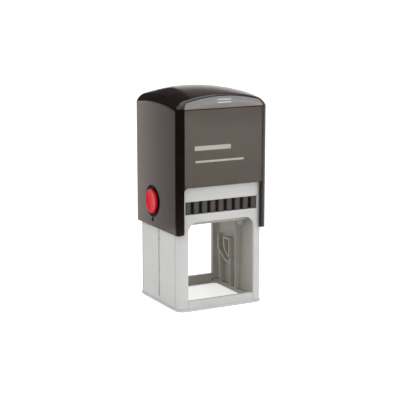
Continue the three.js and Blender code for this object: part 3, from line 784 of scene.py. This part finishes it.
class STAMP_OT_covers(bpy.types.Operator):
    """The clear covers over the labels, each with two small ribs to lift it by."""

    bl_idname = "stamp.covers"
    bl_label = "Clear covers"

    def execute(self, context):
        for node, back in (("front_cover", False), ("rear_cover", True)):
            cover = cap_form(node + "_fine", 0.0, 0.0, SKIRT_Z - PAST)
            combine(cover, [cover_zone("zone", COVER_DEPTH, COVER_GAP, SEAM_GAP)], "INTERSECT")
            merge_flat(cover, 0.2)
            soften(cover, context.scene.stamp_sizes.small_edge, segments=2)
            if back:
                turned_round(cover)
            seat(cover, node, "cap", "clear_plastic")
            for i in range(2):
                self.pull_rib(i, node, back)
        return {"FINISHED"}

    def pull_rib(self, index, node, back):
        """A low rounded rib on the cover's upper edge."""
        z = SHOULDER_Z + PULL_RIB_RISE + PULL_RIB_PITCH * index
        half, proud = PULL_RIB_HALF, PULL_RIB_PROUD
        lift = SHOULDER - math.sqrt(SHOULDER**2 - (z - SHOULDER_Z) ** 2)
        rings = []
        for i in range(33):
            x = half * math.sin(math.pi / 2 * (i / 16 - 1))
            swell = math.sqrt(max(0.0, 1 - (x / half) ** 8))
            ring = []
            for j in range(12):
                turn = 2 * math.pi * j / 12
                y = -CAP_HALF_Y + lift + 0.1 - (proud + 0.1) * swell * math.cos(turn)
                ring.append((x, y, z + PULL_RIB_RADIUS * swell * math.sin(turn) - x * x / (2 * DOME_X)))
            rings.append(ring)
        rib = rings_object(f"{node}_rib_{index}", rings)
        rib.data.shade_smooth()
        if back:
            turned_round(rib)
        # The ribs' finish paints a highlight into their colour.
        dress(rib, "clear_rib_painted_highlight")
        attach(rib, "cap")


class STAMP_OT_labels(bpy.types.Operator):
    """The dark cards behind the covers."""

    bl_idname = "stamp.labels"
    bl_label = "Labels"

    def execute(self, context):
        for node, turn in (("front_label", 0.0), ("rear_label", math.pi)):
            card = copy_of("front_label", node + "_fine")
            card.rotation_euler.z = turn
            soften(card, 0.05 * MM, segments=1)
            seat(card, node, "cap", "label_card")
        return {"FINISHED"}


class STAMP_OT_buttons(bpy.types.Operator):
    """The red lock buttons with their dished faces."""

    bl_idname = "stamp.buttons"
    bl_label = "Lock buttons"

    def execute(self, context):
        dish = context.scene.stamp_sizes.button_dish / MM
        outer = BUTTON_HIGH[0]
        rim = BUTTON_R
        inner = BUTTON_LOW[0] + 0.9
        profile = [
            (inner, BUTTON_STEM - 0.1),
            (outer - BUTTON_THICK, BUTTON_STEM),
            (outer - BUTTON_THICK, rim - 0.15),
            (outer - BUTTON_THICK + 0.15, rim),
            (outer - 0.45, rim),
            (outer - 0.2, rim - 0.1),
            (outer - 0.05, rim - 0.32),
            (outer, rim - 0.62),
            (outer - 0.04, rim - 0.9),
        ]
        for radius in (5.2, 4.6, 3.8, 3.0, 2.0, 1.0, 0.05):
            profile.append((outer - 0.04 - dish * (1 - (radius / BUTTON_STEM) ** 2), radius))
        for node, body in (("right_lock_button", "right_button"), ("left_lock_button", "left_button")):
            button = turned(node + "_fine", profile, (0, BUTTON_Y, BUTTON_Z), sides=96)
            button.data.shade_smooth()
            button.data.set_sharp_from_angle(angle=math.radians(50))
            tongue = self.bar(node + "_tongue", BUTTON_LOW[0], BUTTON_LOW[0] + TONGUE_THICK, TONGUE_HALF_Z)
            neck = self.bar("neck", BUTTON_LOW[0] + 0.1, inner + 0.3, NECK_HALF_Z)
            combine(tongue, [neck], "UNION")
            soften(tongue, 0.15 * MM, segments=2)
            if node.startswith("left"):
                mirrored(button)
                mirrored(tongue)
            seat(button, node, body, "red_plastic")
            dress(tongue, "red_plastic")
            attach(tongue, body)
        return {"FINISHED"}

    def bar(self, name, x0, x1, half_height):
        """A bar of the tongue, in the frame's side groove."""
        low = (x0, TRACK_Y - TONGUE_HALF_Y, BUTTON_Z - half_height)
        high = (x1, TRACK_Y + TONGUE_HALF_Y, BUTTON_Z + half_height)
        return block(name, low, high)


class STAMP_OT_frame(bpy.types.Operator):
    """The grey base frame and the ring that it stands in."""

    bl_idname = "stamp.frame"
    bl_label = "Base frame"

    def execute(self, context):
        for node in ("base_frame", "foot_ring"):
            piece = copy_of(node, node + "_fine")
            soften(piece, context.scene.stamp_sizes.moulded_edge)
            seat(piece, node, "base", "grey_plastic")
        return {"FINISHED"}


class STAMP_OT_ink(bpy.types.Operator):
    """The ink tray with its grooved end, and the soaked pad in it."""

    bl_idname = "stamp.ink"
    bl_label = "Ink tray and pad"

    def execute(self, context):
        tray = copy_of("ink_tray", "ink_tray_fine")
        self.round_ribs(tray)
        soften(tray, 0.35 * MM)
        seat(tray, "ink_tray", "base", "black_matt")

        (x0, y0, z0), (x1, y1, z1) = PAD_LOW, PAD_HIGH
        rings = []
        for inset, z in ((0.5, z1), (0.05, z1 - 0.5), (0.0, z0 + 0.8), (0.25, z0 + 0.25), (0.8, z0 + 0.02)):
            ring = rounded_ring((x1 - x0) / 2 - inset, (y1 - y0) / 2 - inset, 1.2)
            rings.append([(x + (x0 + x1) / 2, y + (y0 + y1) / 2, z) for x, y in ring])
        pad = rings_object("ink_pad_fine", rings)
        pad.data.shade_smooth()
        pad.data.set_sharp_from_angle(angle=math.radians(50))
        seat(pad, "ink_pad", "base", "ink_felt")
        return {"FINISHED"}

    def round_ribs(self, tray):
        """Wide rounds on the upright edges of the finger ribs."""
        work = bmesh.new()
        work.from_mesh(tray.data)
        front = (TRAY_LOW[1] + 0.02) * MM
        edges = []
        for edge in work.edges:
            first, second = (end.co for end in edge.verts)
            if max(first.y, second.y) < front and abs(first.z - second.z) > 3 * MM:
                edges.append(edge)
        bmesh.ops.bevel(
            work,
            geom=edges,
            offset=RIB_ROUND * MM,
            segments=4,
            profile=0.5,
            affect="EDGES",
            clamp_overlap=True,
        )
        work.to_mesh(tray.data)
        work.free()


class STAMP_OT_platen(bpy.types.Operator):
    """The platen, its axle, the foam cushion and the rubber text plate."""

    bl_idname = "stamp.platen"
    bl_label = "Platen"

    def execute(self, context):
        small = context.scene.stamp_sizes.small_edge
        pieces = (
            ("platen", "grey_plastic", "grey_plastic", 1.6 * small),
            ("platen_axle", "steel", "steel", small),
            ("plate_cushion", "foam", "foam", 4.0 * small),
            ("text_plate", "rubber", "rubber", 0.6 * small),
        )
        for node, finish, slot, edge in pieces:
            piece = copy_of(node, node + "_fine")
            soften(piece, edge, segments=2)
            seat(piece, node, "platen", finish)
        return {"FINISHED"}


class STAMP_OT_bridge(bpy.types.Operator):
    """The bridge whose long legs hold the platen's axle."""

    bl_idname = "stamp.bridge"
    bl_label = "Bridge"

    def execute(self, context):
        bridge = copy_of("bridge", "bridge_fine")
        soften(bridge, context.scene.stamp_sizes.small_edge, segments=2)
        seat(bridge, "bridge", "cap", "grey_plastic")
        return {"FINISHED"}


class STAMP_OT_springs(bpy.types.Operator):
    """The two main springs, built at one length; nothing here shortens them as the cap goes down."""

    bl_idname = "stamp.springs"
    bl_label = "Springs"

    def execute(self, context):
        wire = context.scene.stamp_sizes.wire / MM / 2
        low, high = SPRING_LOW[2] + wire, SPRING_HIGH[2] - wire
        centre = (SPRING_LOW[0] + SPRING_HIGH[0]) / 2
        radius = (SPRING_HIGH[0] - SPRING_LOW[0]) / 2 - wire
        turns, per_turn = 7, 48
        closed = 1.0 / turns
        pitch = 2.2 * wire
        for node, sign in (("right_spring", 1), ("left_spring", -1)):
            rings = []
            for i in range(turns * per_turn + 1):
                t = i / (turns * per_turn)
                if t < closed:
                    z = low + t / closed * pitch
                elif t > 1 - closed:
                    z = high - (1 - t) / closed * pitch
                else:
                    z = low + pitch + (t - closed) / (1 - 2 * closed) * (high - low - 2 * pitch)
                turn = 2 * math.pi * turns * t
                out = (math.cos(turn), math.sin(turn))
                ring = []
                for j in range(12):
                    a = 2 * math.pi * j / 12
                    reach = radius + wire * math.cos(a)
                    ring.append((centre + reach * out[0], reach * out[1], z + wire * math.sin(a)))
                rings.append(ring)
            spring = rings_object(node + "_fine", rings)
            spring.data.shade_smooth()
            if sign < 0:
                mirrored(spring)
            seat(spring, node, "base", "steel")
            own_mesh(spring)
        return {"FINISHED"}


# ---- Stage ---------------------------------------------------------------------------------------


def area_light(name, place_mm, target_mm, size_mm, watts, tint=(1.0, 1.0, 1.0)):
    data = bpy.data.lights.new(name, "AREA")
    data.shape = "RECTANGLE"
    data.size, data.size_y = size_mm[0] * MM, size_mm[1] * MM
    data.energy = watts
    data.color = tint
    lamp = bpy.data.objects.new(name, data)
    bpy.context.scene.collection.objects.link(lamp)
    lamp.location = Vector(place_mm) * MM
    lamp.rotation_euler = (Vector(target_mm) * MM - lamp.location).to_track_quat("-Z", "Y").to_euler()
    return lamp


def reflector(name, corners_mm, stops, along="X"):
    """A studio card seen in gloss alone. Each stop is (place along an axis in millimetres, glow)."""
    card = mesh_object(name, corners_mm, [(0, 1, 2, 3)])
    material = bpy.data.materials.new(name)
    material.use_nodes = True
    tree = material.node_tree
    tree.nodes.clear()
    where = tree.nodes.new("ShaderNodeTexCoord")
    split = tree.nodes.new("ShaderNodeSeparateXYZ")
    span = tree.nodes.new("ShaderNodeMapRange")
    ramp = tree.nodes.new("ShaderNodeValToRGB")
    glow = tree.nodes.new("ShaderNodeEmission")
    out = tree.nodes.new("ShaderNodeOutputMaterial")
    first, last = stops[0][0], stops[-1][0]
    span.inputs["From Min"].default_value = first * MM
    span.inputs["From Max"].default_value = last * MM
    most = max(value for _, value in stops)
    while len(ramp.color_ramp.elements) < len(stops):
        ramp.color_ramp.elements.new(0.5)
    for element, (place, value) in zip(ramp.color_ramp.elements, stops):
        element.position = (place - first) / (last - first)
        share = value / most
        element.color = (share, share * 0.91, share * 0.88, 1.0)
    glow.inputs["Strength"].default_value = most
    tree.links.new(where.outputs["Object"], split.inputs[0])
    tree.links.new(split.outputs[along], span.inputs["Value"])
    tree.links.new(span.outputs["Result"], ramp.inputs["Fac"])
    tree.links.new(ramp.outputs["Color"], glow.inputs["Color"])
    tree.links.new(glow.outputs[0], out.inputs["Surface"])
    card.data.materials.append(material)
    card.visible_camera = card.visible_diffuse = card.visible_transmission = card.visible_shadow = False


def wall_card(name, start_mm, end_mm, height_mm, stops, along="X"):
    """An upright studio card between two places on the floor."""
    (xa, ya), (xb, yb) = start_mm, end_mm
    low, high = height_mm
    reflector(name, [(xa, ya, low), (xb, yb, low), (xb, yb, high), (xa, ya, high)], stops, along)


class STAMP_OT_stage(bpy.types.Operator):
    """A pale floor that curves up behind, soft lights and the camera."""

    bl_idname = "stamp.stage"
    bl_label = "Stage"

    def execute(self, context):
        floor_z = -0.02
        points = []
        for i in range(41):
            if i < 10:
                points.append((-2500 + i * 380.0, floor_z))
            else:
                turn = math.pi / 2 * (i - 10) / 30
                points.append((1300 + 900 * math.sin(turn), floor_z + 900 * (1 - math.cos(turn))))
        points.append((2200, 3000))
        vertices = [(x, y, z) for x in (-4000, 4000) for y, z in points]
        count = len(points)
        strips = [(i, i + 1, count + i + 1, count + i) for i in range(count - 1)]
        floor = mesh_object("floor", vertices, strips)
        floor.data.shade_smooth()
        if floor.data.polygons[0].normal.z < 0:
            floor.data.flip_normals()
        dress(floor, "paper_floor")

        middle = (0, 0, 60)
        area_light("key", (-520, -260, 420), middle, (420, 520), 0.9)
        area_light("fill", (420, -620, 300), middle, (380, 480), 1.05)
        area_light("top", (0, 60, 700), middle, (600, 500), 0.6)
        wall_card("side_card", (-134, 165), (60, 165), (-30, 128), [(-132, 0.44), (-110, 0.62), (-88, 1.5)])
        wall_card("dark_band", (-150, 166), (60, 166), (128, 330), [(128, 0.05), (330, 0.05)], "Z")
        flags = ((-134, 165), (-200, 60), (-200, -90), (-110, -200), (40, -230))
        for i, (start, end) in enumerate(zip(flags, flags[1:])):
            wall_card(f"dark_flag_{i}", start, end, (-30, 200), [(-210, 0.004), (60, 0.004)])
        wall_card("front_card", (40, -230), (230, -150), (-30, 130), [(15, 0.05), (70, 0.5)], "Z")
        roof_glow = [(165, 0.75), (225, 0.26), (440, 0.02)]
        wall_card("roof_card", (330, 170), (-60, 350), (165, 440), roof_glow, "Z")

        world = bpy.data.worlds.new("studio")
        world.use_nodes = True
        tree = world.node_tree
        sky = tree.nodes["Background"]
        sky.inputs["Color"].default_value = (1, 1, 1, 1)
        seen = tree.nodes.new("ShaderNodeLightPath").outputs["Is Camera Ray"]
        glow = tree.nodes.new("ShaderNodeMapRange")
        glow.inputs["To Min"].default_value, glow.inputs["To Max"].default_value = 0.92, 1.05
        tree.links.new(seen, glow.inputs["Value"])
        tree.links.new(glow.outputs["Result"], sky.inputs["Strength"])
        context.scene.world = world

        data = bpy.data.cameras.new("camera")
        data.lens = 108.0
        data.sensor_width = 36.0
        data.clip_start, data.clip_end = 0.05, 20.0
        camera = bpy.data.objects.new("camera", data)
        context.scene.collection.objects.link(camera)
        camera.location = Vector((-310.5, -586.3, 185.7)) * MM
        aim = Vector((-0.07, 0.04, 56.1)) * MM - camera.location
        camera.rotation_euler = aim.to_track_quat("-Z", "Y").to_euler()
        context.scene.camera = camera
        context.scene.view_settings.view_transform = "Standard"
        return {"FINISHED"}


OPERATORS = (
    STAMP_OT_cap,
    STAMP_OT_covers,
    STAMP_OT_labels,
    STAMP_OT_buttons,
    STAMP_OT_frame,
    STAMP_OT_ink,
    STAMP_OT_platen,
    STAMP_OT_bridge,
    STAMP_OT_springs,
    STAMP_OT_stage,
)


class STAMP_PT_panel(bpy.types.Panel):
    """Lists the settings and the operators."""

    bl_label = "Self-inking stamp"
    bl_idname = "STAMP_PT_panel"
    bl_space_type = "VIEW_3D"
    bl_region_type = "UI"
    bl_category = "Stamp"

    def draw(self, context):
        for group in (context.scene.stamp_sizes, context.scene.stamp_colours):
            box = self.layout.box()
            for name in type(group).__annotations__:
                box.prop(group, name)
        for operator in OPERATORS:
            self.layout.operator(operator.bl_idname)


CLASSES = (STAMP_PG_sizes, STAMP_PG_colours, *OPERATORS, STAMP_PT_panel)


def register():
    for each in CLASSES:
        bpy.utils.register_class(each)
    bpy.types.Scene.stamp_sizes = bpy.props.PointerProperty(type=STAMP_PG_sizes)
    bpy.types.Scene.stamp_colours = bpy.props.PointerProperty(type=STAMP_PG_colours)


def unregister():
    del bpy.types.Scene.stamp_colours
    del bpy.types.Scene.stamp_sizes
    for each in reversed(CLASSES):
        bpy.utils.unregister_class(each)


def main():
    register()
    for operator in OPERATORS:
        getattr(bpy.ops.stamp, operator.bl_idname.split(".")[1])()


if __name__ == "__main__":
    main()
